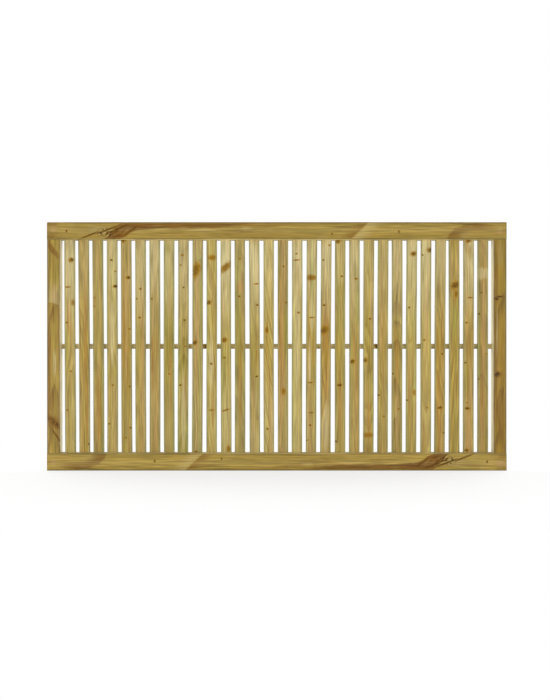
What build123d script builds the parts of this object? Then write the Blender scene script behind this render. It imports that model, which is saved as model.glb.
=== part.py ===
from build123d import *
import os

# Vertical slatted fence panel in planed, treated softwood: grooved rails, stiles tenoned into them,
# slats housed in the grooves, and a thin batten across the back that keeps the slats in line.
# Millimetres. X runs along the panel, the front faces -Y and Z is up. The origin is on the ground
# under the middle of the panel.

# Frame
panel_width = 1830.0
panel_height = 990.0
frame_thickness = 45.0
rail_height = 70.0
stile_width = 52.0
frame_arris = 3.0

# Slats and the grooves that house their ends
slat_width = 42.0
slat_thickness = 16.0
slat_gap = 15.0
slat_arris = 2.0
groove_depth = 14.0
groove_clearance = 0.25
slat_top_clearance = 2.0

# Corner joints: a haunched tenon on each stile end, a mortise in the rail
tenon_length = 45.0
haunch_width = 16.0
tenon_clearance = 0.1
tenon_end_clearance = 1.0

# Batten behind the slats, let into the back of the stiles
batten_height = 20.0
batten_thickness = 14.0
batten_housing = 20.0
housing_clearance = 0.2

# Headless pins of galvanised flat wire, all driven from the back and set just below the surface
pin_width = 1.6
pin_thickness = 1.4
pin_clearance = 0.05
set_depth = 0.5
slat_pin_length = 25.0
joint_pin_length = 35.0

# Worked out from the values above
opening_width = panel_width - 2 * stile_width
opening_height = panel_height - 2 * rail_height
groove_width = slat_thickness + 2 * groove_clearance
tenon_thickness = groove_width - 2 * tenon_clearance
tenon_width = stile_width - haunch_width
rear_face = frame_thickness / 2
slat_back = slat_thickness / 2
mid_height = panel_height / 2

# As many slats as leave at least one full gap beside each stile
slat_pitch = slat_width + slat_gap
slat_count = int((opening_width - slat_gap) // slat_pitch)
slat_places = [(i - (slat_count - 1) / 2) * slat_pitch for i in range(slat_count)]

# Driven ends of the pins: in the rails' rear cheeks, in the batten and at the corners
rail_pin_y = rear_face - set_depth
batten_pin_y = slat_back + batten_thickness - set_depth
bottom_pin_z = rail_height - groove_depth / 2
top_pin_z = panel_height - bottom_pin_z
batten_end_x = (opening_width + batten_housing) / 2
batten_pin_places = [-batten_end_x] + slat_places + [batten_end_x]
joint_pin_places = [
    (panel_width / 2 - haunch_width - tenon_width * step / 3, rail_height - tenon_length * step / 3)
    for step in (1, 2)
]


def make_pin(length, clearance=0.0, mouth=0.0):
    """Flat wire running towards -Y from Y = mouth; with a clearance it is the hole that the pin sits in."""
    return Pos(0, mouth, 0) * Box(
        pin_width + 2 * clearance,
        mouth + length + clearance,
        pin_thickness + 2 * clearance,
        align=(Align.CENTER, Align.MAX, Align.CENTER),
    )


def make_hole(length):
    """Hole for a pin, long enough at its mouth to break the surface that the pin is set below."""
    return make_pin(length, pin_clearance, 2 * set_depth)


slat_pin = make_pin(slat_pin_length)
slat_pin_hole = make_hole(slat_pin_length)
joint_pin = make_pin(joint_pin_length)
joint_pin_hole = make_hole(joint_pin_length)


def make_bottom_rail():
    """Rounded section with a groove in its upper edge, run the full width, with a mortise at each end."""
    outline = Pos(0, rail_height / 2) * RectangleRounded(frame_thickness, rail_height, frame_arris)
    groove = Pos(0, rail_height - groove_depth / 2) * Rectangle(groove_width, groove_depth)
    rail = extrude(Plane.YZ * (outline - groove), amount=panel_width / 2, both=True)
    mortise = Box(
        tenon_width + 2 * tenon_clearance,
        groove_width,
        tenon_length + tenon_end_clearance,
        align=(Align.CENTER, Align.CENTER, Align.MAX),
    )
    mortise_x = panel_width / 2 - haunch_width - tenon_width / 2
    cuts = [Pos(side * mortise_x, 0, rail_height) * mortise for side in (-1, 1)]
    cuts += [Pos(x, rail_pin_y, bottom_pin_z) * slat_pin_hole for x in slat_places]
    cuts += [
        Pos(side * x, rail_pin_y, z) * joint_pin_hole for side in (-1, 1) for x, z in joint_pin_places
    ]
    return rail - cuts


def make_right_stile():
    """Rounded section between the rails, with a haunched tenon at each end and a housing for the batten."""
    centre_x = (panel_width - stile_width) / 2
    outline = Pos(centre_x, 0) * RectangleRounded(stile_width, frame_thickness, frame_arris)
    stile = Pos(0, 0, rail_height) * extrude(outline, amount=opening_height)
    haunch = Pos(centre_x, 0, mid_height) * Box(
        stile_width, tenon_thickness, opening_height + 2 * (groove_depth - tenon_end_clearance)
    )
    tenon = Pos(opening_width / 2 + tenon_width / 2, 0, mid_height) * Box(
        tenon_width, tenon_thickness, opening_height + 2 * tenon_length
    )
    housing = Pos(opening_width / 2 - housing_clearance, slat_back, mid_height) * Box(
        batten_housing + 2 * housing_clearance,
        rear_face,
        batten_height + 2 * housing_clearance,
        align=(Align.MIN, Align.MIN, Align.CENTER),
    )
    cuts = [housing, Pos(batten_end_x, batten_pin_y, mid_height) * slat_pin_hole]
    for x, z in joint_pin_places:
        cuts += [Pos(x, rail_pin_y, height) * joint_pin_hole for height in (z, panel_height - z)]
    return stile + haunch + tenon - cuts


def make_slat():
    """Slat on the middle line: foot on the bottom groove's floor, a hole for each of its three pins."""
    outline = RectangleRounded(slat_width, slat_thickness, slat_arris)
    length = opening_height + 2 * groove_depth - slat_top_clearance
    slat = Pos(0, 0, rail_height - groove_depth) * extrude(outline, amount=length)
    cuts = [Pos(0, rail_pin_y, z) * slat_pin_hole for z in (bottom_pin_z, top_pin_z)]
    cuts += [Pos(0, batten_pin_y, mid_height) * slat_pin_hole]
    return slat - cuts


def make_batten():
    """Batten flat against the backs of the slats, its ends in the stiles' housings."""
    length = opening_width + 2 * batten_housing
    batten = Pos(0, slat_back + batten_thickness / 2, mid_height) * Box(length, batten_thickness, batten_height)
    return batten - [Pos(x, batten_pin_y, mid_height) * slat_pin_hole for x in batten_pin_places]


def pins_at(pin, places):
    """One group of separate pins, a copy at each place."""
    return Compound(children=[Pos(*place) * pin for place in places])


bottom_rail = make_bottom_rail()
right_stile = make_right_stile()
slat = make_slat()

nodes = {
    "bottom_rail": bottom_rail,
    "top_rail": Pos(0, 0, panel_height) * Rot(0, 180, 0) * bottom_rail,
    "right_stile": right_stile,
    "left_stile": mirror(right_stile, about=Plane.YZ),
    "rear_batten": make_batten(),
    "bottom_rail_pins": pins_at(slat_pin, [(x, rail_pin_y, bottom_pin_z) for x in slat_places]),
    "top_rail_pins": pins_at(slat_pin, [(x, rail_pin_y, top_pin_z) for x in slat_places]),
    "batten_pins": pins_at(slat_pin, [(x, batten_pin_y, mid_height) for x in batten_pin_places]),
    "joint_pins": pins_at(
        joint_pin,
        [
            (side * x, rail_pin_y, height)
            for side in (-1, 1)
            for x, z in joint_pin_places
            for height in (z, panel_height - z)
        ],
    ),
}
for number, x in enumerate(slat_places, start=1):
    nodes[f"slat_{number:02d}"] = Pos(x, 0, 0) * slat

os.makedirs("parts", exist_ok=True)
for name, shape in nodes.items():
    export_step(shape, f"parts/{name}.step")
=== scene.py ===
import math

import bpy
import numpy as np
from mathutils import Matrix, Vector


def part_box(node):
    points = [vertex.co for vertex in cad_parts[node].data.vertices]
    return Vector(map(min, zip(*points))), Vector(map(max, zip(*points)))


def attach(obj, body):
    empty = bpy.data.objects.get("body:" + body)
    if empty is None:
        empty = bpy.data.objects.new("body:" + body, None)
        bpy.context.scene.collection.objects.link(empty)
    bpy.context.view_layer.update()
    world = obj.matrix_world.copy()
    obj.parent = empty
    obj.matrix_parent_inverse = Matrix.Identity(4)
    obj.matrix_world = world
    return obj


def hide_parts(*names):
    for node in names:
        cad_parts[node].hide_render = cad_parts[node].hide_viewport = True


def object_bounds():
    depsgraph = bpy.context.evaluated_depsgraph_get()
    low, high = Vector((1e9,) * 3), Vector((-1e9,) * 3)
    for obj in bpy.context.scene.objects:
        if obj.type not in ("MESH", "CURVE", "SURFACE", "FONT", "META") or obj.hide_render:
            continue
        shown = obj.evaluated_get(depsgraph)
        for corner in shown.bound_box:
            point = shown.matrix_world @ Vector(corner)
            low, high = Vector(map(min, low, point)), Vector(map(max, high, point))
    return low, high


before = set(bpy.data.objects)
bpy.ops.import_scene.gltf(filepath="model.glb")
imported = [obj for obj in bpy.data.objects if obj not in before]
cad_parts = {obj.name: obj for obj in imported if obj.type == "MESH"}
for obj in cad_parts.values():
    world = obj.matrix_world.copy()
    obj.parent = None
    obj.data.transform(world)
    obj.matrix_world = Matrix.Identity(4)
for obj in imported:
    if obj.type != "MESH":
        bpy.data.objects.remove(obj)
cad_low, cad_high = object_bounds()

# Top and bottom rails: planed softwood, pressure treated to an olive brown, each with a groove run along
# its inner edge. Both are from one run of timber, the bottom rail turned end for end, and they pass over
# the ends of the stiles, which are tenoned into them.

# The frame is in metres, and each board is drawn in millimetres. Nothing is as long as ENDLESS.
MM = 1000.0
ENDLESS = 1e6


def linear(code):
    """The linear RGBA colour of an sRGB hex code."""
    channels = np.array([int(code[i : i + 2], 16) for i in (1, 3, 5)]) / 255
    low, high = channels / 12.92, ((channels + 0.055) / 1.055) ** 2.4
    return (*np.where(channels <= 0.04045, low, high), 1.0)


def add(tree, kind, inputs=None, **settings):
    """Adds one node: settings are its properties, and each input is linked to a node or socket, or set."""
    node = tree.nodes.new(kind)
    for name, value in settings.items():
        setattr(node, name, value)
    sockets = [socket for socket in node.inputs if socket.enabled]
    for key, value in (inputs or {}).items():
        socket = sockets[key] if isinstance(key, int) else next(s for s in sockets if s.name == key)
        if isinstance(value, bpy.types.Node):
            value = next(output for output in value.outputs if output.enabled)
        if isinstance(value, bpy.types.NodeSocket):
            tree.links.new(value, socket)
        else:
            socket.default_value = value
    return node


def new_group(name, inputs, outputs):
    """An empty node group with its sockets, listed by kind, and the sockets of its input node by name."""
    tree = bpy.data.node_groups.new(name, "ShaderNodeTree")
    for in_out, kinds in (("INPUT", inputs), ("OUTPUT", outputs)):
        for kind, sockets in kinds.items():
            for socket in sockets:
                tree.interface.new_socket(socket, in_out=in_out, socket_type="NodeSocket" + kind)
    given = tree.nodes.new("NodeGroupInput").outputs
    return tree, {socket.name: socket for socket in given}


def place_in_ellipse(tree, given):
    """Where a point lies from an ellipse's centre, less the slant by Turn along the board and any Lean
    through its thickness: in millimetres, in radii, and how many radii that is."""
    away = add(tree, "ShaderNodeVectorMath", {0: given["Board"], 1: given["Centre"]}, operation="SUBTRACT")
    parts = add(tree, "ShaderNodeSeparateXYZ", {0: away}).outputs
    slide = add(tree, "ShaderNodeMath", {0: parts[2], 1: given["Turn"]}, operation="MULTIPLY")
    slide = add(tree, "ShaderNodeCombineXYZ", {0: slide})
    if "Lean" in given:
        lean = add(tree, "ShaderNodeVectorMath", {0: given["Lean"], "Scale": parts[1]}, operation="SCALE")
        slide = add(tree, "ShaderNodeVectorMath", {0: lean, 1: slide}, operation="ADD")
    offset = add(tree, "ShaderNodeVectorMath", {0: away, 1: slide}, operation="SUBTRACT")
    unit = add(tree, "ShaderNodeVectorMath", {0: offset, 1: given["Radii"]}, operation="DIVIDE")
    reach = add(tree, "ShaderNodeVectorMath", {0: unit}, operation="LENGTH").outputs["Value"]
    return offset, unit, reach


def make_patch_group():
    """A soft-edged ellipse on the face, in board millimetres (across, depth, along), that slants across by
    Turn for each millimetre along. Noise draws its edge out along the grain. The larger mask goes on."""
    edge_size = (5.0, 5.0, 160.0)
    inputs = {"Vector": ("Board", "Centre", "Radii"), "Float": ("Turn", "Amount", "Mask")}
    tree, given = new_group("patch", inputs, {"Float": ("Mask",)})
    reach = place_in_ellipse(tree, given)[2]
    drawn = add(tree, "ShaderNodeVectorMath", {0: given["Board"], 1: edge_size}, operation="DIVIDE")
    ragged = add(tree, "ShaderNodeTexNoise", {"Vector": drawn, "Scale": 1.0, "Detail": 2.0}).outputs[0]
    reach = add(tree, "ShaderNodeMath", {0: ragged, 1: 1.0, 2: reach}, operation="MULTIPLY_ADD")
    span = {"Value": reach, "From Min": 1.65, "From Max": 0.95, "To Max": given["Amount"]}
    inside = add(tree, "ShaderNodeMapRange", span, interpolation_type="SMOOTHSTEP")
    larger = add(tree, "ShaderNodeMath", {0: given["Mask"], 1: inside}, operation="MAXIMUM")
    add(tree, "NodeGroupOutput", {"Mask": larger})
    return tree


def make_knot_group():
    """One branch that crosses the board, in board millimetres. Its edge is an ellipse about a line that
    leans as it goes through the thickness and slants across by Turn along the board: distance 1 is the edge.
    Grain flows round it as water round a pile: across shifts by -offset / (distance squared + a half)."""
    bark_size, ragged_by = 6.0, 1.6
    passed_on = ("Shift", "Nearest", "Dark")
    numbers = ("Turn", "Stain", "Swirl", *passed_on)
    inputs = {"Vector": ("Board", "Centre", "Radii", "Lean"), "Float": numbers}
    tree, given = new_group("knot", inputs, {"Float": passed_on})
    offset, unit, reach = place_in_ellipse(tree, given)
    bark = {"Vector": given["Board"], "Scale": 1 / bark_size, "Detail": 3.0}
    ragged = add(tree, "ShaderNodeTexNoise", bark).outputs
    reach = add(tree, "ShaderNodeMath", {0: ragged[0], 1: ragged_by, 2: reach}, operation="MULTIPLY_ADD")
    distance = add(tree, "ShaderNodeMath", {0: reach, 1: ragged_by / 2}, operation="SUBTRACT")
    flaking = add(tree, "ShaderNodeSeparateXYZ", {0: ragged[1]}).outputs[2]
    span = {"Value": flaking, "From Min": 0.3, "From Max": 0.55}
    broken = add(tree, "ShaderNodeMapRange", span, interpolation_type="SMOOTHSTEP")
    span = {"Value": distance, "From Min": 1.3, "From Max": 0.65, "To Max": given["Stain"]}
    core = add(tree, "ShaderNodeMapRange", span, interpolation_type="SMOOTHSTEP")
    core = add(tree, "ShaderNodeMath", {0: core, 1: broken}, operation="MULTIPLY")
    drawn_out = (1.0, 1.0, 0.4)
    flow = add(tree, "ShaderNodeVectorMath", {0: unit, 1: drawn_out}, operation="MULTIPLY")
    spread = add(tree, "ShaderNodeVectorMath", {0: flow, 1: flow}, operation="DOT_PRODUCT").outputs["Value"]
    softened = add(tree, "ShaderNodeMath", {0: spread, 1: 0.5}, operation="ADD")
    push = add(tree, "ShaderNodeSeparateXYZ", {0: offset}).outputs[0]
    push = add(tree, "ShaderNodeMath", {0: push, 1: softened}, operation="DIVIDE")
    push = add(tree, "ShaderNodeMath", {0: push, 1: given["Swirl"]}, operation="MULTIPLY")
    result = {}
    for name, own, operation in zip(passed_on, (push, distance, core), ("SUBTRACT", "MINIMUM", "MAXIMUM")):
        result[name] = add(tree, "ShaderNodeMath", {0: given[name], 1: own}, operation=operation)
    add(tree, "NodeGroupOutput", result)
    return tree


def make_softwood_group():
    """Solid planed softwood in board millimetres: growth rings are distances from a pith line beside the
    board, bent by slow noise and by knots, so faces, edges and ends all cut the same rings.
    Colour goes from early to late wood over each ring. Olive, brown and pink streaks, paling, the wood round
    knots, painted shade along each arris together with the darker end grain, knots, and the painted
    highlight of the frame's inner faces are laid over it in that order."""
    shares = ("Paling", "Foot paling", "Brown streaks", "Pink streaks", "Olive streaks")
    masks = ("Brown mask", "Pink mask", "Olive mask", "Pale mask")
    inputs = {
        "Vector": ("Board", "Seed", "Half", "Pith", "Slope"),
        "Float": ("Ring", "Shift", "Nearest", "Dark", "Edge shade width", *shares, *masks),
        "Color": ("Early", "Late", "Brown", "Pink", "Olive", "Pale", "Halo", "Knot", "Arris"),
    }
    outputs = {"Color": ("Colour",), "Float": ("Roughness", "Height")}
    tree, given = new_group("planed softwood", inputs, outputs)
    along = add(tree, "ShaderNodeSeparateXYZ", {0: given["Board"]}).outputs[2]
    seeded = add(tree, "ShaderNodeVectorMath", {0: given["Board"], 1: given["Seed"]}, operation="ADD")

    # Noise in the sizes that wood has, in millimetres across, deep and along. Fibres are really a twentieth
    # of a millimetre wide, and are drawn about two millimetres wide so that they show.
    noise = {}
    for name, size, detail in (
        ("wander", (ENDLESS, ENDLESS, 280.0), 1.0),
        ("wobble", (13.0, 13.0, 150.0), 2.0),
        ("fibre", (2.2, 2.2, 130.0), 2.0),
        ("mottle", (4.0, 4.0, 110.0), 3.0),
        ("blotch", (36.0, 36.0, 120.0), 3.0),
    ):
        sized = add(tree, "ShaderNodeVectorMath", {0: seeded, 1: size}, operation="DIVIDE")
        cloud = add(tree, "ShaderNodeTexNoise", {"Vector": sized, "Scale": 1.0, "Detail": detail})
        noise[name] = cloud.outputs

    # Where a point lies from the pith, which wanders as the tree grew, once knots have turned the grain
    bent = add(tree, "ShaderNodeCombineXYZ", {0: given["Shift"]})
    grain = add(tree, "ShaderNodeVectorMath", {0: given["Board"], 1: bent}, operation="ADD")
    wander, wander_by = noise["wander"]["Color"], (24.0, 26.0, 0.0)
    grain = add(tree, "ShaderNodeVectorMath", {0: wander, 1: wander_by, 2: grain}, operation="MULTIPLY_ADD")
    tilt = add(tree, "ShaderNodeVectorMath", {0: given["Slope"], "Scale": along}, operation="SCALE")
    pith = add(tree, "ShaderNodeVectorMath", {0: given["Pith"], 1: tilt}, operation="ADD")
    radial = add(tree, "ShaderNodeVectorMath", {0: grain, 1: pith}, operation="SUBTRACT")
    across_grain = (1.0, 1.0, 0.0)
    radial = add(tree, "ShaderNodeVectorMath", {0: radial, 1: across_grain}, operation="MULTIPLY")
    radius = add(tree, "ShaderNodeVectorMath", {0: radial}, operation="LENGTH").outputs["Value"]
    wobble, wobble_by = noise["wobble"][0], 4.5
    radius = add(tree, "ShaderNodeMath", {0: wobble, 1: wobble_by, 2: radius}, operation="MULTIPLY_ADD")

    # Rings of uneven width, by runs of good and bad years: slow early wood, a dense dark line of late wood,
    # then a sharp start again
    run_of_years, uneven_by = 15.0, 1.6
    growth = {"W": radius, "Scale": 1 / run_of_years, "Detail": 1.0}
    uneven = add(tree, "ShaderNodeTexNoise", growth, noise_dimensions="1D").outputs[0]
    rings = add(tree, "ShaderNodeMath", {0: radius, 1: given["Ring"]}, operation="DIVIDE")
    rings = add(tree, "ShaderNodeMath", {0: uneven, 1: uneven_by, 2: rings}, operation="MULTIPLY_ADD")
    phase = add(tree, "ShaderNodeMath", {0: rings}, operation="FRACT")

    # Streaks follow the grain: heartwood brown, pink and the olive of the treatment
    followed = add(tree, "ShaderNodeVectorMath", {0: grain, 1: given["Seed"]}, operation="ADD")
    for name, size in (
        ("brown", (15.0, 15.0, 1000.0)),
        ("pink", (13.0, 13.0, 800.0)),
        ("olive", (16.0, 16.0, 1200.0)),
    ):
        placed = add(tree, "ShaderNodeVectorMath", {0: followed, 1: size}, operation="DIVIDE")
        cloud = add(tree, "ShaderNodeTexNoise", {"Vector": placed, "Scale": 1.0, "Detail": 3.0})
        noise[name] = cloud.outputs

    # How far a point is from the nearest arris, and from the nearer end
    back_along = (0.0, 0.0, -1.0)
    middled = add(tree, "ShaderNodeVectorMath", {0: given["Half"], 1: back_along}, operation="MULTIPLY")
    middled = add(tree, "ShaderNodeVectorMath", {0: given["Board"], 1: middled}, operation="ADD")
    middled = add(tree, "ShaderNodeVectorMath", {0: middled}, operation="ABSOLUTE")
    margin = add(tree, "ShaderNodeVectorMath", {0: given["Half"], 1: middled}, operation="SUBTRACT")
    margin = add(tree, "ShaderNodeSeparateXYZ", {0: margin}).outputs
    to_arris = add(tree, "ShaderNodeMath", {0: margin[0], 1: margin[1]}, operation="MAXIMUM")

    # Soft steps: what is looked at, where the step starts and ends, and how high it is
    step = {}
    for name, value, start, end, top in (
        ("late start", phase, 0.3, 0.9, 0.85),
        ("late end", phase, 1.0, 0.93, 1.0),
        ("brown", noise["brown"][0], 0.46, 0.62, given["Brown streaks"]),
        ("pink", noise["pink"][0], 0.46, 0.62, given["Pink streaks"]),
        ("olive", noise["olive"][0], 0.46, 0.62, given["Olive streaks"]),
        ("top", along, 470.0, 900.0, given["Paling"]),
        ("foot", along, 500.0, 200.0, given["Foot paling"]),
        ("patchy", noise["blotch"][0], 0.1, 0.5, 1.0),
        ("halo", given["Nearest"], 2.2, 0.9, 0.9),
        ("arris", to_arris, given["Edge shade width"], 0.5, 0.75),
        ("end grain", margin[2], 2.0, 0.4, 0.7),
        # painted highlight: a pale mask above 0.7, which only the inner-face strips reach, lays the pale
        # colour on top
        ("fresh", given["Pale mask"], 0.7, 1.0, 1.0),
    ):
        span = {"Value": value, "From Min": start, "From Max": end, "To Max": top}
        step[name] = add(tree, "ShaderNodeMapRange", span, interpolation_type="SMOOTHSTEP")
    late = add(tree, "ShaderNodeMath", {0: step["late start"], 1: step["late end"]}, operation="MULTIPLY")
    paling = add(tree, "ShaderNodeMath", {0: step["top"], 1: step["foot"]}, operation="MAXIMUM")
    paling = add(tree, "ShaderNodeMath", {0: paling, 1: step["patchy"]}, operation="MULTIPLY")
    # Painted shade: the band along each arris is darkened where the rounded edges turn from the light. The
    # ends take the end grain's own darker colour
    edge = add(tree, "ShaderNodeMath", {0: step["arris"], 1: step["end grain"]}, operation="MAXIMUM")

    # Streaks and paling are everywhere, and the masks add a board's own
    stains = {"Olive": step["olive"], "Brown": step["brown"], "Pink": step["pink"], "Pale": paling}
    for name, share in stains.items():
        mask = given[f"{name} mask"]
        stains[name] = add(tree, "ShaderNodeMath", {0: share, 1: mask}, operation="MAXIMUM")
    colour = given["Early"]
    for name, share in (
        ("Late", late),
        *stains.items(),
        ("Halo", step["halo"]),
        # painted shade along the arrises, and the darker end grain
        ("Arris", edge),
        ("Knot", given["Dark"]),
        # the painted highlight of the frame's inner faces
        ("Pale", step["fresh"]),
    ):
        colour = add(tree, "ShaderNodeMix", {0: share, 1: colour, 2: given[name]}, data_type="RGBA")

    # Lighter and darker by blotch, mottle and fibre, each a half on average, and by the rings in a knot.
    # The mean tone is 1, so the colours stay as they are written
    ring_rate, ring_depth = 11.0, 0.2
    amounts = {"blotch": 0.25, "mottle": 1.3, "fibre": 0.7}
    base = 1 - sum(amounts.values()) / 2
    knot_rings = add(tree, "ShaderNodeMath", {0: given["Nearest"], 1: ring_rate}, operation="MULTIPLY")
    knot_rings = add(tree, "ShaderNodeMath", {0: knot_rings}, operation="SINE")
    knot_rings = add(tree, "ShaderNodeMath", {0: knot_rings, 1: given["Dark"]}, operation="MULTIPLY")
    tone = add(tree, "ShaderNodeMath", {0: knot_rings, 1: ring_depth, 2: base}, operation="MULTIPLY_ADD")
    for name, amount in amounts.items():
        tone = add(tree, "ShaderNodeMath", {0: noise[name][0], 1: amount, 2: tone}, operation="MULTIPLY_ADD")
    colour = add(tree, "ShaderNodeVectorMath", {0: colour, "Scale": tone}, operation="SCALE")

    # Late wood and knots stand a little proud of the fibres, and late wood is the smoother
    height = add(tree, "ShaderNodeMath", {0: late, 1: 0.5, 2: noise["fibre"][0]}, operation="MULTIPLY_ADD")
    height = add(tree, "ShaderNodeMath", {0: given["Dark"], 1: 0.6, 2: height}, operation="MULTIPLY_ADD")
    rough = add(tree, "ShaderNodeMath", {0: late, 1: -0.06, 2: 0.36}, operation="MULTIPLY_ADD")
    add(tree, "NodeGroupOutput", {"Colour": colour, "Roughness": rough, "Height": height})
    return tree


patch_group = make_patch_group()
knot_group = make_knot_group()
softwood_group = make_softwood_group()

# Kinds of knot: radii across and along in millimetres, slant, how dark it is and how far it turns the grain
KNOTS = {
    "speck": (2.9, 2.6, 0.0, 0.9, 0.3),
    "pin": (3.9, 2.9, 0.0, 1.0, 0.8),
    "broad": (8.0, 4.6, 0.0, 0.95, 0.8),
    "faint": (3.4, 2.5, 0.0, 0.6, 0.9),
    "red": (6.0, 9.0, 0.0, 0.42, 1.0),
    "knot": (8.0, 7.0, 0.2, 0.8, 1.2),
    "big": (13.0, 12.0, 0.3, 0.7, 1.5),
    "swirl": (13.0, 21.0, 0.3, 0.5, 1.6),
    "smear": (12.0, 7.0, 0.0, 0.3, 0.8),
    "bar": (13.0, 19.0, 1.0, 0.35, 0.9),
    "branch": (12.0, 27.0, -1.0, 0.5, 1.0),
    "line": (8.0, 2.2, 1.2, 0.6, 0.4),
    "split": (13.0, 2.8, 0.0, 0.95, 0.3),
    "ring": (11.0, 9.0, 0.2, 0.9, 1.2),
    "leaf": (7.0, 4.5, 2.2, 0.7, 0.4),
    "wide": (20.0, 7.0, 0.0, 0.3, 0.6),
    "streak": (2.8, 32.0, -0.38, 0.6, 0.0),
    "curl": (3.4, 24.0, -0.7, 0.55, 0.0),
}


def empty_tree(owner):
    """The node tree of a material or a world, cleared of what it starts with."""
    owner.use_nodes = True
    owner.node_tree.nodes.clear()
    return owner.node_tree


def softwood(name, board, seed, half, colours, knots=(), patches=(), figure=None, **figures):
    """Planed softwood for one board: matt and open grained, with dense late wood lines that shine a little
    more. board leads to board millimetres: the turn and place of a Mapping node, or an attribute's name.
    figure is a group that draws what only this board has, and figures are the wood group's other numbers."""
    material = bpy.data.materials.new(name)
    tree = empty_tree(material)
    if isinstance(board, str):
        where = add(tree, "ShaderNodeAttribute", attribute_name=board).outputs["Vector"]
    else:
        turn, place = board
        settings = {
            "Vector": add(tree, "ShaderNodeTexCoord").outputs["Object"],
            "Location": place,
            "Rotation": (0.0, math.radians(turn), 0.0),
            "Scale": (MM, MM, MM),
        }
        where = add(tree, "ShaderNodeMapping", settings).outputs[0]
    far_off = 9.0
    bend = {"Shift": 0.0, "Nearest": far_off, "Dark": 0.0}
    masks = {f"{colour} mask": 0.0 for colour in ("Brown", "Pink", "Olive", "Pale")}
    if figure:
        drawn = add(tree, "ShaderNodeGroup", {"Board": where}, node_tree=figure).outputs
        bend.update({socket: drawn[socket] for socket in ("Shift", "Dark")})
        masks.update({socket: drawn[socket] for socket in ("Brown mask", "Pale mask")})
    for colour, across, along, wide, tall, turn, amount in patches:
        mask = f"{colour} mask"
        settings = {
            "Board": where,
            "Centre": (across, 0.0, along),
            "Radii": (wide, ENDLESS, tall),
            "Turn": turn,
            "Amount": amount,
            "Mask": masks[mask],
        }
        masks[mask] = add(tree, "ShaderNodeGroup", settings, node_tree=patch_group).outputs["Mask"]
    for across, along, kind in knots:
        wide, tall, turn, stain, swirl = KNOTS[kind]
        settings = {
            "Board": where,
            "Centre": (across, -half[1], along),
            "Radii": (wide, ENDLESS, tall),
            "Lean": (0.25 * math.sin(along), 0.0, 0.3 * math.cos(7 * along)),
            "Turn": turn,
            "Stain": stain,
            "Swirl": swirl,
            **bend,
        }
        knot = add(tree, "ShaderNodeGroup", settings, node_tree=knot_group).outputs
        bend = {socket: knot[socket] for socket in bend}
    settings = {
        "Board": where,
        "Seed": seed,
        "Half": half,
        **bend,
        **masks,
        **figures,
        **{socket: linear(code) for socket, code in colours.items()},
    }
    wood = add(tree, "ShaderNodeGroup", settings, node_tree=softwood_group).outputs
    bump = add(tree, "ShaderNodeBump", {"Height": wood["Height"], "Strength": 0.5, "Distance": 0.0004})
    settings = {
        "Base Color": wood["Colour"],
        "Roughness": wood["Roughness"],
        "Normal": bump,
        "IOR": 1.5,
        "Specular IOR Level": 0.15,
    }
    shader = add(tree, "ShaderNodeBsdfPrincipled", settings)
    add(tree, "ShaderNodeOutputMaterial", {"Surface": shader})
    return material


FIGURE_SOCKETS = ("Shift", "Dark", "Brown mask", "Pale mask")


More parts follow.
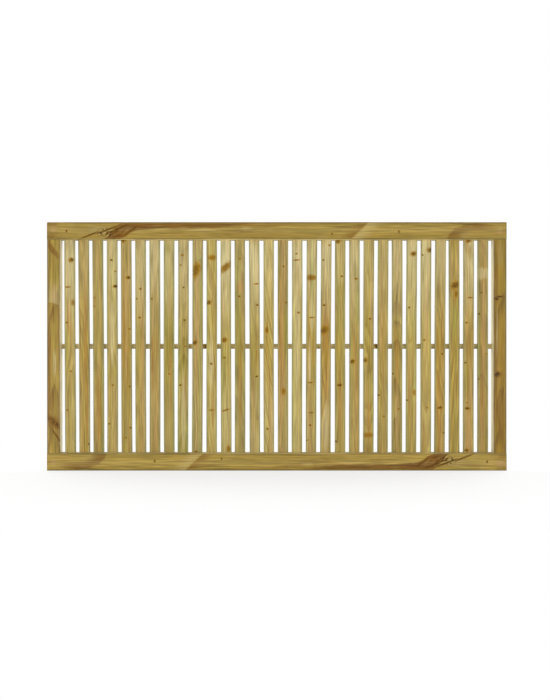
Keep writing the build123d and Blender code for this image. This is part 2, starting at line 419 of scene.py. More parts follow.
def make_rail_figure():
    """The rails' own figure, in board millimetres from the rail's outer edge to its groove and from one end:
    grain swept from the groove to the outer edge past a knot, with a red-brown band that follows the sweep
    and thins out; a slanting change of tone further on; and a brown arch near the far end."""
    ragged_size, ragged_by = (12.0, 12.0, 40.0), 14.0
    streak_size = (4.5, 1.0, 70.0)
    speck_size, speck_slant = (4.0, 1.0, 13.0), 0.38
    specked_middle, specked_reach = (5.0, 0.0, 236.0), (26.0, ENDLESS, 42.0)
    left_from, right_from = 40.0, 42.0
    lightest, line_slant = -4.0, 1.02
    broad_size = (50.0, 50.0, 150.0)
    tree, given = new_group("rail figure", {"Vector": ("Board",)}, {"Float": FIGURE_SOCKETS})
    sized = add(tree, "ShaderNodeVectorMath", {0: given["Board"], 1: ragged_size}, operation="DIVIDE")
    ragged = add(tree, "ShaderNodeTexNoise", {"Vector": sized, "Scale": 1.0, "Detail": 3.0}).outputs[0]
    board = add(tree, "ShaderNodeSeparateXYZ", {0: given["Board"]}).outputs
    across = add(tree, "ShaderNodeMath", {0: ragged, 1: ragged_by, 2: board[0]}, operation="MULTIPLY_ADD")
    across = add(tree, "ShaderNodeMath", {0: across, 1: ragged_by / 2}, operation="SUBTRACT")

    # The band's two sides: each falls from the groove to the outer edge, the one nearer the groove in stages
    falls = {}
    for name, start, end, fall in (
        ("left", 205, 305, 75.0),
        ("right", 262, 372, 46.0),
        ("second", 380, 480, 5.0),
        ("third", 660, 760, 10.0),
    ):
        span = {"Value": board[2], "From Min": start, "From Max": end, "To Max": fall}
        falls[name] = add(tree, "ShaderNodeMapRange", span, interpolation_type="SMOOTHSTEP")
    fall = add(tree, "ShaderNodeMath", {0: falls["right"], 1: falls["second"]}, operation="ADD")
    fall = add(tree, "ShaderNodeMath", {0: fall, 1: falls["third"]}, operation="ADD")
    right = add(tree, "ShaderNodeMath", {0: right_from, 1: fall}, operation="SUBTRACT")
    left = add(tree, "ShaderNodeMath", {0: left_from, 1: falls["left"]}, operation="SUBTRACT")
    in_right = add(tree, "ShaderNodeMath", {0: right, 1: across}, operation="SUBTRACT")
    in_left = add(tree, "ShaderNodeMath", {0: across, 1: left}, operation="SUBTRACT")

    # Streaks in the band, drawn out along the sweep
    swept = add(tree, "ShaderNodeMath", {0: across, 1: fall}, operation="ADD")
    swept = add(tree, "ShaderNodeCombineXYZ", {0: swept, 2: board[2]})
    swept = add(tree, "ShaderNodeVectorMath", {0: swept, 1: streak_size}, operation="DIVIDE")
    streaky = add(tree, "ShaderNodeTexNoise", {"Vector": swept, "Scale": 1.0, "Detail": 2.0}).outputs[0]

    # Specks of bark and pale wood where the sweep starts, drawn out along it
    lean = {0: board[2], 1: speck_slant, 2: board[0]}
    leaning = add(tree, "ShaderNodeMath", lean, operation="MULTIPLY_ADD")
    leaning = add(tree, "ShaderNodeCombineXYZ", {0: leaning, 2: board[2]})
    sized = add(tree, "ShaderNodeVectorMath", {0: leaning, 1: speck_size}, operation="DIVIDE")
    specks = add(tree, "ShaderNodeTexNoise", {"Vector": sized, "Scale": 1.0, "Detail": 1.0}).outputs[0]
    away = add(tree, "ShaderNodeVectorMath", {0: given["Board"], 1: specked_middle}, operation="SUBTRACT")
    away = add(tree, "ShaderNodeVectorMath", {0: away, 1: specked_reach}, operation="DIVIDE")
    away = add(tree, "ShaderNodeVectorMath", {0: away}, operation="LENGTH").outputs["Value"]

    # The timber is lighter along its middle, and changes tone slowly along its length
    off_middle = add(tree, "ShaderNodeMath", {0: across, 1: -lightest}, operation="ADD")
    off_middle = add(tree, "ShaderNodeMath", {0: off_middle}, operation="ABSOLUTE")
    sized = add(tree, "ShaderNodeVectorMath", {0: given["Board"], 1: broad_size}, operation="DIVIDE")
    broad = add(tree, "ShaderNodeTexNoise", {"Vector": sized, "Scale": 1.0, "Detail": 2.0}).outputs[0]

    # Ahead of the slanting line the wood is paler, behind it browner. The line runs back towards the groove
    slant = add(tree, "ShaderNodeMath", {0: across, 1: line_slant, 2: board[2]}, operation="MULTIPLY_ADD")

    # The arch is part of an ellipse whose middle is past the groove: each half axis, from middle to end
    arch = []
    for value, middle, end in ((across, 40.0, 106.0), (board[2], 1720.0, 1838.0)):
        span = {"Value": value, "From Min": middle, "From Max": end}
        arch.append(add(tree, "ShaderNodeMapRange", span, clamp=False))
    arch = add(tree, "ShaderNodeCombineXYZ", dict(enumerate(arch)))
    arch = add(tree, "ShaderNodeVectorMath", {0: arch}, operation="LENGTH").outputs["Value"]

    step = {}
    for name, value, start, end, top in (
        ("in right", in_right, -2.0, 4.0, 1.0),
        ("in left", in_left, -2.0, 8.0, 1.0),
        ("streaky", streaky, 0.2, 0.52, 1.0),
        ("fading", board[2], 1090.0, 600.0, 0.85),
        ("turning", board[2], 450.0, 345.0, 0.6),
        ("behind", slant, 1170.0, 1238.0, 0.55),
        ("behind end", slant, 1246.0, 1240.0, 1.0),
        ("ahead", slant, 1244.0, 1250.0, 0.4),
        ("ahead end", slant, 1330.0, 1260.0, 1.0),
        ("arch inside", arch, 0.4, 0.9, 0.65),
        ("arch outside", arch, 1.14, 1.04, 1.0),
        ("near end", board[2], 1830.0, 1720.0, 1.0),
        ("broad brown", broad, 0.5, 0.75, 0.5),
        ("broad pale", broad, 0.45, 0.2, 0.4),
        ("middle", off_middle, 16.0, 4.0, 0.13),
        ("specked", away, 1.1, 0.5, 1.0),
        ("dark specks", specks, 0.52, 0.62, 0.85),
        ("pale specks", specks, 0.48, 0.4, 0.68),
    ):
        span = {"Value": value, "From Min": start, "From Max": end, "To Max": top}
        step[name] = add(tree, "ShaderNodeMapRange", span, interpolation_type="SMOOTHSTEP")

    # What lies within two steps is their product
    for name, first, second in (
        ("band", "in right", "in left"),
        ("behind", "behind", "behind end"),
        ("ahead", "ahead", "ahead end"),
        ("arch", "arch inside", "arch outside"),
        ("arch", "arch", "near end"),
        ("dark specks", "specked", "dark specks"),
        ("pale specks", "specked", "pale specks"),
        ("turning streaks", "turning", "streaky"),
    ):
        step[name] = add(tree, "ShaderNodeMath", {0: step[first], 1: step[second]}, operation="MULTIPLY")
    even = add(tree, "ShaderNodeMath", {0: step["streaky"], 1: 0.4, 2: 0.6}, operation="MULTIPLY_ADD")
    settled = add(tree, "ShaderNodeMath", {0: step["turning"], 1: -0.3, 2: 1.0}, operation="MULTIPLY_ADD")
    depth = add(tree, "ShaderNodeMath", {0: step["fading"], 1: even}, operation="MULTIPLY")
    depth = add(tree, "ShaderNodeMath", {0: depth, 1: settled}, operation="MULTIPLY")
    depth = add(tree, "ShaderNodeMath", {0: depth, 1: step["turning streaks"]}, operation="ADD")
    brown = add(tree, "ShaderNodeMath", {0: step["band"], 1: depth}, operation="MULTIPLY")
    for name in ("behind", "arch", "broad brown"):
        brown = add(tree, "ShaderNodeMath", {0: brown, 1: step[name]}, operation="MAXIMUM")
    pale = step["pale specks"]
    for name in ("ahead", "broad pale", "middle"):
        pale = add(tree, "ShaderNodeMath", {0: pale, 1: step[name]}, operation="MAXIMUM")
    add(tree, "NodeGroupOutput", dict(zip(FIGURE_SOCKETS, (fall, step["dark specks"], brown, pale))))
    return tree


def finish_piece(node, material):
    """Gives its material to a piece that keeps its own mesh."""
    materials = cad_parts[node].data.materials
    materials.clear()
    materials.append(material)


FRAME_COLOURS = {
    "Early": "#b2994a",
    "Late": "#a0863b",
    "Brown": "#784e15",
    "Pink": "#ae8c52",
    "Olive": "#928336",
    # paler wood, and also the painted highlight on the rails' inner faces
    "Pale": "#d0ba7c",
    "Halo": "#80590e",
    "Knot": "#382404",
    # painted shade for the rounded edges, and the darker colour of end grain
    "Arris": "#7a6a3a",
}
low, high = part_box("top_rail")
rail_half = (MM / 2 * (high.z - low.z), MM / 2 * (high.y - low.y), MM * high.x)
rail_figure = make_rail_figure()
# Knots: millimetres off the rail's middle line, millimetres from its end, kind
rail_knots = (
    (1, 78, "pin"),
    (19, 165, "streak"),
    (-5, 243, "streak"),
    (0, 268, "streak"),
    (12, 262, "curl"),
    (19, 283, "curl"),
    (-16, 300, "streak"),
    (-2, 336, "curl"),
    (12, 1135, "faint"),
    (3, 1401, "faint"),
)
# Patches: colour, millimetres off the middle line and from the end, half width, half length, slant, share
rail_patches = (
    ("Pink", -8, 24, 17, 18, 0.0, 0.9),
    # painted highlight: this pale strip on the groove side makes the inner face bright, as if lit from
    # behind
    ("Pale", 37, 915, 5, 1500, 0.0, 1.0),
    ("Brown", 24, 10, 12, 32, 0.0, 0.6),
    ("Brown", -28, 16, 9, 36, 0.0, 0.6),
    ("Pink", 3, 308, 4, 28, -0.6, 0.8),
    ("Pale", -2, 616, 4, 70, 0.0, 0.45),
    ("Pale", -8, 796, 7, 32, 0.0, 0.4),
    ("Pink", 0, 1805, 14, 15, 0.0, 0.7),
)
# The bottom rail's lighter early wood is painted light: the same timber as the top rail, made lighter to
# make up for the lesser light it gets down by the floor
for node, turn, early in (("top_rail", -90, "#aa9045"), ("bottom_rail", 90, "#ba9f4e")):
    low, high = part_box(node)
    middle = math.copysign(MM / 2 * (low.z + high.z), -turn)
    timber = softwood(
        f"treated_softwood_{node}",
        (turn, (middle, 0.0, rail_half[2])),
        (31.0, 12.0, 400.0),
        rail_half,
        {**FRAME_COLOURS, "Early": early},
        rail_knots,
        rail_patches,
        rail_figure,
        Pith=(-70.0, 26.0, 0.0),
        Slope=(0.01, 0.004, 0.0),
        Ring=4.5,
        **{"Edge shade width": 11.0, "Brown streaks": 0.15, "Pink streaks": 0.15, "Olive streaks": 0.45},
    )
    finish_piece(node, timber)

# Left and right stiles: the same planed timber, upright between the rails, with a haunched tenon at each
# end. Each shows its own knots and streaks, and the right one is the browner.


def make_stile_figure():
    """The left stile's own figure, in board millimetres: a slanting line where a branch left the trunk, with
    paler wood above it and browner wood below."""
    ragged_size, ragged_by = (14.0, 14.0, 40.0), 16.0
    line_slant = 0.18
    tree, given = new_group("stile figure", {"Vector": ("Board",)}, {"Float": FIGURE_SOCKETS})
    sized = add(tree, "ShaderNodeVectorMath", {0: given["Board"], 1: ragged_size}, operation="DIVIDE")
    ragged = add(tree, "ShaderNodeTexNoise", {"Vector": sized, "Scale": 1.0, "Detail": 2.0}).outputs[0]
    board = add(tree, "ShaderNodeSeparateXYZ", {0: given["Board"]}).outputs
    slant = {0: board[0], 1: line_slant, 2: board[2]}
    line = add(tree, "ShaderNodeMath", slant, operation="MULTIPLY_ADD")
    line = add(tree, "ShaderNodeMath", {0: ragged, 1: ragged_by, 2: line}, operation="MULTIPLY_ADD")
    step = {}
    for name, start, end, top in (
        ("below", 540.0, 668.0, 0.28),
        ("below end", 674.0, 670.0, 1.0),
        ("above", 671.0, 675.0, 0.2),
        ("above end", 790.0, 690.0, 1.0),
    ):
        span = {"Value": line, "From Min": start, "From Max": end, "To Max": top}
        step[name] = add(tree, "ShaderNodeMapRange", span, interpolation_type="SMOOTHSTEP")
    brown = add(tree, "ShaderNodeMath", {0: step["below"], 1: step["below end"]}, operation="MULTIPLY")
    pale = add(tree, "ShaderNodeMath", {0: step["above"], 1: step["above end"]}, operation="MULTIPLY")
    add(tree, "NodeGroupOutput", {"Brown mask": brown, "Pale mask": pale})
    return tree


# Early and late wood, knots, patches, the share of brown streaks, and a figure
STILES = {
    "left_stile": (
        {"Early": "#a68c3e", "Late": "#7c6228"},
        ((0, 195, "branch"), (15, 183, "knot"), (14, 136, "curl")),
        (
            ("Brown", -20, 380, 13, 240, 0.0, 0.7),
            ("Brown", -2, 285, 5, 50, 0.0, 0.7),
            ("Brown", 8, 192, 30, 30, 0.0, 0.5),
            ("Brown", 0, 875, 16, 40, -0.7, 0.7),
            ("Brown", -22, 905, 10, 30, 0.0, 0.7),
            ("Brown", 20, 560, 7, 130, 0.0, 0.4),
            ("Pink", 4, 700, 12, 50, 0.0, 0.7),
            ("Pale", 4, 425, 7, 60, 0.0, 0.3),
            # painted highlight: the pale strip on the inner face, as if lit from behind
            ("Pale", 27, 495, 3, 900, 0.0, 1.0),
        ),
        0.1,
        make_stile_figure(),
    ),
    "right_stile": (
        {"Early": "#9b7d2b", "Late": "#77591b"},
        ((-2, 693, "split"), (-15, 684, "broad"), (-11, 383, "ring")),
        (
            ("Brown", -18, 500, 12, 560, 0.0, 0.6),
            ("Brown", 6, 250, 9, 260, 0.0, 0.4),
            ("Pink", 2, 870, 12, 70, 0.0, 0.5),
            ("Olive", 0, 870, 34, 70, 0.0, 0.6),
            ("Pale", -12, 560, 3, 130, 0.0, 0.28),
            # painted highlight: the pale strip on the inner face, as if lit from behind
            ("Pale", -27, 495, 3, 900, 0.0, 1.0),
            ("Olive", 21, 500, 7, 560, 0.0, 0.7),
        ),
        0.35,
        None,
    ),
}
for number, (node, (colours, knots, patches, brown, figure)) in enumerate(STILES.items()):
    low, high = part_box(node)
    timber = softwood(
        f"treated_softwood_{node}",
        (0, (-MM / 2 * (low.x + high.x), 0.0, 0.0)),
        (90.0 * number + 5, 70.0, 210.0),
        (MM / 2 * (high.x - low.x), MM / 2 * (high.y - low.y), MM / 2 * cad_high.z),
        # Pale is the stiles' paler wood and also the painted highlight of their inner faces
        {**FRAME_COLOURS, **colours, "Pale": "#dccfa0"},
        knots,
        patches,
        figure,
        Pith=(10.0, 55.0, 0.0),
        Slope=(0.02, 0.015, 0.0),
        Ring=7.0,
        **{"Edge shade width": 11.0, "Brown streaks": brown, "Pink streaks": 0.15, "Olive streaks": 0.4},
    )
    finish_piece(node, timber)

# Slats: thirty planed boards with eased edges, their ends pushed into the rail grooves and pinned from
# behind. No two are quite straight or quite evenly spaced, and each has its own tone, streaks and knots.

# Early and late wood of each tone
TONES = {
    "straw": ("#c2b263", "#a48b3e"),
    "pale": ("#baa85b", "#9b833a"),
    "gold": ("#cab35e", "#8c7230"),
    "mid": ("#b09b4c", "#8e762e"),
    "honey": ("#ae923f", "#8a6b23"),
    "olive": ("#a8974a", "#85742c"),
    "brown": ("#a38d45", "#7e652a"),
    "russet": ("#9c823a", "#775d23"),
    "grey": ("#ae9d5c", "#897740"),
}
SLAT_COLOURS = {
    "Brown": "#a4782f",
    "Pink": "#b8955c",
    "Olive": "#979344",
    "Pale": "#d7c895",
    "Halo": "#a2750a",
    "Knot": "#3e2900",
    # painted shade for the slats' rounded edges
    "Arris": "#969463",
}
STREAK_SHARES = {"Brown": 0.8, "Pink": 0.7, "Olive": 0.55, "Pale": 0.5}

# Tone, how much paler the upper end is, and how many millimetres the slat is off its place at three quarters
# and at one quarter of its height. Then its knots (millimetres off its middle line, height, kind), and its
# streaks (colour, millimetres off its middle line, height, half width, half length).
SLATS = [
    ("pale", 0.8, -2, 0,
     [(8, 840, "knot"), (16, 670, "red"), (-12, 590, "pin"), (4, 395, "pin"), (-12, 240, "faint"),
      (-8, 732, "line")],
     [("Pink", -5, 800, 6, 110), ("Olive", 8, 780, 6, 60), ("Brown", -4, 610, 12, 80)]),
    ("honey", 0.3, -2.5, 0,
     [(19, 105, "pin")],
     [("Brown", 6, 560, 6, 300), ("Olive", -4, 260, 6, 150), ("Brown", 12, 230, 5, 160)]),
    ("olive", 0.1, -3, -0.5,
     [(-14, 690, "faint"), (-15, 655, "faint")],
     [("Brown", 0, 240, 15, 200), ("Brown", -12, 670, 4, 40), ("Pink", 0, 850, 8, 60)]),
    ("pale", 0.55, -3, -2,
     [(-2, 840, "pin"), (14, 795, "faint"), (15, 735, "broad"), (2, 340, "faint"), (-14, 185, "pin")],
     [("Pink", 0, 860, 9, 50), ("Pink", 10, 250, 6, 120), ("Pale", 0, 560, 15, 150)]),
    ("honey", 0.2, -4, -2,
     [(-11, 918, "knot"), (9, 770, "broad"), (13, 565, "pin"), (13, 335, "pin"), (16, 170, "pin"),
      (-3, 130, "speck")],
     [("Brown", -9, 600, 7, 320), ("Olive", 2, 250, 7, 150)]),
    ("mid", 0.6, -4, -3,
     [(0, 725, "pin"), (-16, 685, "faint"), (-4, 610, "pin")],
     [("Pink", 3, 700, 7, 150), ("Olive", -10, 450, 6, 200)]),
    ("brown", 0.65, -3.5, -3,
     [(-13, 685, "faint")],
     [("Pink", -8, 640, 6, 150), ("Brown", -8, 420, 6, 150), ("Olive", 5, 500, 6, 240)]),
    ("olive", 0.5, -4, -3.5,
     [(2, 385, "faint")],
     [("Pale", -8, 780, 4, 150), ("Pink", 0, 670, 6, 60), ("Brown", 8, 350, 4, 200),
      ("Olive", 14, 500, 5, 250)]),
    ("olive", 0.55, -3.5, -4.5,
     [(-3, 860, "pin"), (-11, 820, "speck"), (1, 730, "speck"), (5, 600, "pin"), (9, 495, "faint"),
      (-11, 340, "pin")],
     [("Pink", 0, 780, 6, 120), ("Brown", 10, 300, 5, 150), ("Olive", -8, 480, 7, 170),
      ("Pale", 2, 230, 12, 180)]),
    ("grey", 0.15, -3, -4.5,
     [(-8, 800, "swirl"), (-12, 510, "knot"), (-4, 75, "pin")],
     [("Pink", 0, 620, 9, 250), ("Brown", -12, 790, 7, 40)]),
    ("straw", 0.1, -4, -4,
     [(3, 850, "smear"), (-13, 670, "knot"), (-1, 425, "pin"), (0, 240, "line")],
     [("Pink", 0, 740, 7, 120), ("Brown", 4, 230, 5, 90), ("Pale", -2, 430, 12, 130)]),
    ("pale", 0.95, -4.5, -3.5,
     [(-2, 810, "bar"), (-6, 520, "knot"), (-6, 450, "pin"), (-2, 240, "leaf"), (10, 85, "red")],
     [("Pink", -9, 640, 6, 180), ("Pale", 8, 700, 6, 100), ("Brown", 0, 800, 9, 24)]),
    ("brown", 0.25, -5, -4.5,
     [(0, 845, "faint"), (-3, 695, "pin")],
     [("Brown", 0, 300, 7, 230), ("Olive", -13, 350, 5, 200), ("Olive", 13, 350, 5, 200),
      ("Brown", 4, 735, 15, 34)]),
    ("mid", 0.9, -4, -2.5,
     [(8, 745, "line"), (12, 660, "pin"), (8, 375, "pin")],
     [("Pale", 8, 800, 8, 110), ("Pink", 10, 760, 5, 80)]),
    ("gold", 0.5, -4, -3.5,
     [(-9, 560, "red"), (-5, 165, "pin")],
     [("Brown", 4, 280, 7, 180)]),
    ("russet", 0.2, -4, -4,
     [(2, 815, "faint"), (14, 670, "pin"), (2, 315, "red")],
     [("Brown", -8, 400, 12, 420), ("Olive", 10, 380, 10, 420)]),
    ("straw", 0.8, -4, -4.5,
     [(-3, 865, "faint"), (-3, 840, "line"), (5, 630, "pin")],
     [("Pale", 0, 560, 15, 340)]),
    ("pale", 0.6, -3, -5,
     [(-4, 770, "wide"), (0, 610, "line"), (-4, 350, "line"), (0, 230, "line"), (-4, 180, "pin"),
      (-16, 120, "speck")],
     [("Pale", 2, 640, 9, 100), ("Pale", -6, 420, 6, 120), ("Brown", -4, 765, 12, 20)]),
    ("honey", 0.8, -2.5, -4.5,
     [(12, 900, "faint"), (-12, 840, "speck"), (-8, 660, "pin"), (-8, 560, "big")],
     [("Brown", 3, 330, 7, 120), ("Brown", -2, 570, 17, 110), ("Pale", 0, 170, 15, 130)]),
    ("mid", 0.35, -3, -3.5,
     [(-10, 915, "knot"), (6, 775, "pin"), (-2, 340, "broad"), (-17, 115, "pin")],
     [("Brown", 0, 260, 7, 180), ("Olive", -8, 650, 6, 150)]),
    ("mid", 0.65, -2.5, -3,
     [(6, 765, "pin"), (-10, 435, "knot")],
     [("Pink", -6, 680, 6, 180), ("Olive", 8, 600, 6, 220)]),
    ("mid", 0.3, -2.5, -4,
     [(5, 605, "pin"), (-15, 440, "knot"), (-3, 140, "wide")],
     [("Pink", 10, 620, 5, 230), ("Brown", 0, 190, 8, 110)]),
    ("mid", 0.3, -2.5, -4,
     [(-16, 300, "pin"), (4, 215, "speck")],
     [("Pink", -10, 600, 6, 250), ("Brown", 1, 450, 2.5, 300), ("Olive", 10, 400, 6, 200)]),
    ("brown", 0.5, -3, -3.5,
     [(-17, 385, "pin"), (7, 245, "speck")],
     [("Pink", 2, 820, 8, 90), ("Brown", 0, 440, 6, 130), ("Pink", 0, 200, 9, 150)]),
    ("pale", 0.65, -2, -4,
     [(6, 865, "knot"), (-10, 650, "speck"), (14, 310, "red"), (-18, 280, "pin")],
     [("Brown", -9, 300, 6, 170), ("Olive", 11, 450, 6, 250)]),
    ("pale", 0.7, -1.5, -2.5,
     [(15, 880, "knot"), (-15, 860, "speck"), (-7, 520, "pin"), (5, 250, "faint")],
     [("Pink", 0, 600, 8, 250)]),
    ("honey", 0.55, -1, -3.5,
     [(8, 465, "pin"), (0, 250, "broad"), (16, 150, "pin")],
     [("Pink", 0, 820, 7, 100), ("Brown", 4, 600, 3, 200), ("Brown", -6, 280, 7, 170)]),
    ("honey", 0.1, -2.5, -2.5,
     [(3, 740, "big"), (7, 705, "red")],
     [("Pink", -10, 820, 5, 100), ("Olive", 0, 830, 5, 80), ("Pink", 10, 820, 5, 100),
      ("Olive", 0, 620, 18, 120), ("Brown", 0, 690, 7, 40)]),
    ("honey", 0.75, -2, -2.5,
     [(-2, 918, "knot"), (6, 690, "line"), (-10, 590, "pin"), (-14, 430, "pin"), (-6, 270, "faint"),
      (-5, 247, "broad"), (-10, 80, "broad")],
     [("Olive", -4, 800, 13, 130), ("Pink", 15, 800, 4, 110), ("Olive", 0, 300, 14, 280)]),
    ("russet", 0.2, -2, -2.5,
     [(-7, 710, "pin"), (-15, 625, "pin"), (-19, 365, "pin"), (13, 465, "faint")],
     [("Pink", 4, 560, 8, 280), ("Olive", -16, 500, 4, 300), ("Pale", 0, 787, 70, 28)]),
]

# Points round each arris, across each face, across each edge and along the slat
ARC_POINTS, FACE_POINTS, EDGE_POINTS, STATIONS = 5, 7, 2, 147

# How far the arris is eased, and how much further where a knot has broken out of it, in millimetres
EASED, BROKEN_OUT = 2.2, 1.4

# The slat whose foot is palest, and how many slats to each side are paler than the rest
PALEST_FOOT, PALER_FEET = 14, 5


def rounded_loop():
    """Unit outline of a rounded rectangle, anticlockwise from above: corner signs and arc directions.
    A point is sign * (half side - radius) + radius * direction. Along a flat the sign runs from -1 to 1."""
    corners = [(-1, -1), (1, -1), (1, 1), (-1, 1)]
    counts = [FACE_POINTS, EDGE_POINTS, FACE_POINTS, EDGE_POINTS]
    signs, arcs = [], []
    for k, (corner, count) in enumerate(zip(corners, counts)):
        angle = np.radians(180 + 90 * k) + np.linspace(0, np.pi / 2, ARC_POINTS)
        signs.append(np.tile(np.array(corner, float), (ARC_POINTS, 1)))
        arcs.append(np.stack([np.cos(angle), np.sin(angle)], axis=1))
        step = np.linspace(0, 1, count + 2)[1:-1, None]
        signs.append((1 - step) * np.array(corner) + step * np.array(corners[(k + 1) % 4]))
        arcs.append(np.tile(arcs[-1][-1], (count, 1)))
    return np.concatenate(signs), np.concatenate(arcs)


def make_slat(name, low, high, upper, lower, knots, chance):
    """The outline carried up the slat. Its middle line goes through the upper and lower offsets, with a
    slight sine wave; its eased arris is uneven, and broken back where a knot meets it.
    Also stores each point's place in the straight board, in millimetres."""
    signs, arcs = rounded_loop()
    size = MM * np.array(high - low)
    rise = np.linspace(0, 1, STATIONS)[:, None]
    along = MM * low.z + size[2] * rise
    phase = chance.uniform(0, 2 * np.pi, 3)
    ease = EASED + 0.5 * np.sin(9 * rise + phase[0]) + 0.3 * np.sin(23 * rise + phase[1])
    for across, height, _ in knots:
        # A knot that lies 12 mm off the middle line starts to reach the arris, and breaks out about 7 mm of
        # it to each side
        at_arris = np.clip((abs(across) - 12) / 5, 0, 1)
        ease = ease + BROKEN_OUT * at_arris * np.exp(-(((along - height) / 7) ** 2))
    half = 0.5 * size[:2]
    x = signs[:, 0] * (half[0] - ease) + ease * arcs[:, 0]
    y = signs[:, 1] * (half[1] - ease) + ease * arcs[:, 1]
    straight = np.stack([x, y, np.broadcast_to(along, x.shape)], axis=-1)
    drift = lower + (upper - lower) * (2 * rise - 0.5) + 0.4 * np.sin(2 * np.pi * rise + phase[2])
    middle = np.stack([drift + MM / 2 * (low.x + high.x), 0 * drift, 0 * drift], axis=-1)
    around = len(signs)
    index = np.arange(STATIONS * around).reshape(STATIONS, around)
    beside = np.roll(index, -1, axis=1)
    walls = np.stack([index[:-1], beside[:-1], beside[1:], index[1:]], axis=-1).reshape(-1, 4)
    ends = [index[0, ::-1].tolist(), index[-1].tolist()]
    mesh = bpy.data.meshes.new(name)
    mesh.from_pydata((straight + middle).reshape(-1, 3) / MM, [], walls.tolist() + ends)
    mesh.polygons.foreach_set("use_smooth", np.arange(len(walls) + 2) < len(walls))
    mesh.attributes.new("board", "FLOAT_VECTOR", "POINT").data.foreach_set("vector", straight.ravel())
    return mesh


for number, (tone, paling, upper, lower, knots, streaks) in enumerate(SLATS, start=1):
    node = f"slat_{number:02d}"
    low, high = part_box(node)
    chance = np.random.default_rng(number)
    mesh = make_slat(f"planed_{node}", low, high, upper, lower, knots, chance)
    pith = (chance.uniform(-25, 25), chance.choice([-1, 1]) * chance.uniform(15, 70), 0.0)
    slope = (chance.uniform(-0.02, 0.02), chance.uniform(-0.06, 0.06), 0.0)
    early, late = TONES[tone]
    near_palest = math.exp(-(((number - PALEST_FOOT) / PALER_FEET) ** 2))
    foot_paling = (0.4 + 0.6 * paling) * (0.06 + 0.26 * near_palest)
    if tone == "gold":
        # Sawn far from the pith and across the slope of the grain, so its rings are slanting lines
        pith, slope = (-400.0, 10.0, 0.0), (-0.18, 0.0, 0.0)
    timber = softwood(
        f"treated_softwood_{node}",
        "board",
        tuple(chance.uniform(0, 4000, 3)),
        (MM / 2 * (high.x - low.x), MM / 2 * (high.y - low.y), MM / 2 * cad_high.z),
        {"Early": early, "Late": late, **SLAT_COLOURS},
        knots,
        [(*streak, 0.0, STREAK_SHARES[streak[0]]) for streak in streaks],
        Pith=pith,
        Slope=slope,
        Ring=chance.uniform(6.0, 10.0),
        Paling=0.9 * paling,
        **{
            "Foot paling": foot_paling,
            "Edge shade width": 10.0,
            "Brown streaks": chance.uniform(0.2, 0.6),
            "Pink streaks": chance.uniform(0.2, 0.6),
            "Olive streaks": chance.uniform(0.2, 0.7),
        },
    )
    mesh.materials.append(timber)
    piece = bpy.data.objects.new(f"planed_{node}", mesh)
    bpy.context.scene.collection.objects.link(piece)
    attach(piece, "root")
    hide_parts(node)

# Rear batten: a thin square-edged lath of pale timber, flat against the backs of the slats, pinned to each
# of them and let into the stiles. Its colours are painted paler still, to make up for the shade it sits in
# behind the slats.
low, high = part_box("rear_batten")
timber = softwood(
    "treated_softwood_batten",
    (-90, (MM / 2 * (low.z + high.z), -MM / 2 * (low.y + high.y), MM * high.x)),
    (610.0, 44.0, 95.0),
    (MM / 2 * (high.z - low.z), MM / 2 * (high.y - low.y), MM * high.x),
    # painted light: early and late wood made paler to make up for the shade behind the slats
    {"Early": "#e2cf96", "Late": "#c6b274", **SLAT_COLOURS},
    ((2, 600, "knot"), (-3, 1285, "knot"), (4, 1010, "pin")),
    Pith=(5.0, 30.0, 0.0),
    Slope=(0.004, 0.01, 0.0),
    Ring=4.0,
    **{"Edge shade width": 2.0, "Brown streaks": 0.3, "Pink streaks": 0.3, "Olive streaks": 0.3},
)
finish_piece("rear_batten", timber)

# Pins: headless lengths of galvanised flat wire, shot in from the back and set just below the surface.
# Hot-dip zinc is a dull light grey metal, a little mottled in spots of about a millimetre.
zinc = bpy.data.materials.new("galvanised_wire")
tree = empty_tree(zinc)
where = add(tree, "ShaderNodeTexCoord").outputs["Object"]
mottle = add(tree, "ShaderNodeTexNoise", {"Vector": where, "Scale": 900.0, "Detail": 2.0}).outputs[0]
shade = add(tree, "ShaderNodeMix", {0: mottle, 1: linear("#9a9c9b"), 2: linear("#c6c8c6")}, data_type="RGBA")
dull = add(tree, "ShaderNodeMapRange", {"Value": mottle, "To Min": 0.35, "To Max": 0.6})
shader = add(tree, "ShaderNodeBsdfPrincipled", {"Base Color": shade, "Roughness": dull, "Metallic": 1.0})
add(tree, "ShaderNodeOutputMaterial", {"Surface": shader})
for node in ("joint_pins", "top_rail_pins", "bottom_rail_pins", "batten_pins"):
    finish_piece(node, zinc)

# Floor and surroundings: a white studio floor that keeps the panel's soft shadow and runs off into white.
FLOOR_REACH = 30.0
WORLD_FILL = 0.42


def seen_directly(tree):
    """1 where it is seen, in a reflection or through glass too, and 0 where its light falls on something."""
    path = add(tree, "ShaderNodeLightPath").outputs
    seen = path["Is Camera Ray"]
    for ray in ("Is Glossy Ray", "Is Transmission Ray"):
        seen = add(tree, "ShaderNodeMath", {0: seen, 1: path[ray]}, operation="MAXIMUM")
    return seen


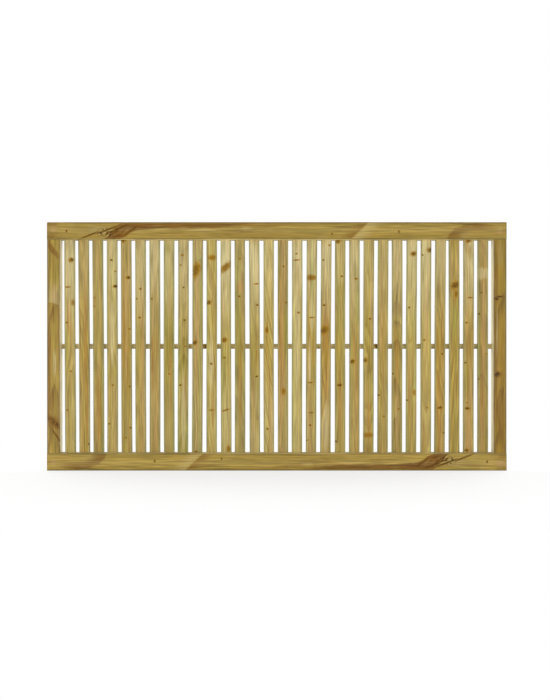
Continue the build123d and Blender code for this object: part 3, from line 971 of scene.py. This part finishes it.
corners = np.array([(-1, -1, 0), (1, -1, 0), (1, 1, 0), (-1, 1, 0)], float)
floor_mesh = bpy.data.meshes.new("studio_floor")
floor_mesh.from_pydata(FLOOR_REACH * corners, [], [(0, 1, 2, 3)])
floor = bpy.data.objects.new("studio_floor", floor_mesh)
bpy.context.scene.collection.objects.link(floor)
white_floor = bpy.data.materials.new("white_studio_floor")
tree = empty_tree(white_floor)
where = add(tree, "ShaderNodeTexCoord").outputs["Object"]
away = add(tree, "ShaderNodeVectorMath", {0: where, 1: (0.6, 1.0, 0.0)}, operation="MULTIPLY")
away = add(tree, "ShaderNodeVectorMath", {0: away}, operation="LENGTH").outputs["Value"]
span = {"Value": away, "From Min": 0.3, "From Max": 1.3, "To Min": 0.75, "To Max": 1.0}
white = add(tree, "ShaderNodeMapRange", span, interpolation_type="SMOOTHSTEP")
share = add(tree, "ShaderNodeMath", {0: seen_directly(tree), 1: white}, operation="MULTIPLY")
paint = add(tree, "ShaderNodeBsdfDiffuse", {"Color": linear("#ededed")})
glow = add(tree, "ShaderNodeEmission", {"Color": linear("#ffffff"), "Strength": 1.0})
mixed = add(tree, "ShaderNodeMixShader", {0: share, 1: paint, 2: glow})
add(tree, "ShaderNodeOutputMaterial", {"Surface": mixed})
floor_mesh.materials.append(white_floor)

world = bpy.data.worlds.new("white_studio")
bpy.context.scene.world = world
tree = empty_tree(world)
seen = seen_directly(tree)
strength = add(tree, "ShaderNodeMapRange", {"Value": seen, "To Min": WORLD_FILL, "To Max": 1.0})
sky = add(tree, "ShaderNodeBackground", {"Color": linear("#ffffff"), "Strength": strength})
add(tree, "ShaderNodeOutputWorld", {"Surface": sky})

# Soft boxes: two beside the camera, a low strip in front, and two overhead, a little behind the panel, that
# light its back and the inner edges of the frame and the slats, as a bright white backdrop does
panel_middle = (cad_low + cad_high) / 2
for name, place, wide, tall, watts in (
    ("left_soft_box", (-2.9, -3.2, 0.65), 1.8, 1.2, 39),
    ("right_soft_box", (2.9, -3.2, 0.65), 1.8, 1.2, 39),
    ("front_floor_strip", (0.0, -1.3, 0.14), 3.2, 0.25, 3.4),
    ("left_overhead_soft_box", (-1.6, 0.9, 2.6), 1.8, 1.2, 60),
    ("right_overhead_soft_box", (1.6, 0.9, 2.6), 1.8, 1.2, 60),
):
    lamp = bpy.data.lights.new(name, "AREA")
    lamp.shape = "RECTANGLE"
    lamp.size = wide
    lamp.size_y = tall
    lamp.energy = watts
    light = bpy.data.objects.new(name, lamp)
    light.location = place
    light.visible_camera = False
    light.rotation_euler = (panel_middle - light.location).to_track_quat("-Z", "Y").to_euler()
    bpy.context.scene.collection.objects.link(light)

# Camera: square on to the front, at half the panel's height. The photograph shows the panel at a quarter of
# a pixel to the millimetre, its middle a few pixels off the middle of the frame.
PHOTO_LONG_SIDE = 700
PIXELS_PER_METRE = 251.2
MIDDLE_RIGHT, MIDDLE_UP = 1.8, 3.65
DISTANCE = 3.6
camera_data = bpy.data.cameras.new("camera")
camera_data.lens = camera_data.sensor_width * DISTANCE * PIXELS_PER_METRE / PHOTO_LONG_SIDE
camera_data.shift_x = -MIDDLE_RIGHT / PHOTO_LONG_SIDE
camera_data.shift_y = -MIDDLE_UP / PHOTO_LONG_SIDE
camera = bpy.data.objects.new("camera", camera_data)
camera.location = (0, cad_low.y - DISTANCE, panel_middle.z)
camera.rotation_euler = (math.radians(90), 0, 0)
bpy.context.scene.collection.objects.link(camera)
bpy.context.scene.camera = camera
bpy.context.scene.view_settings.view_transform = "Standard"
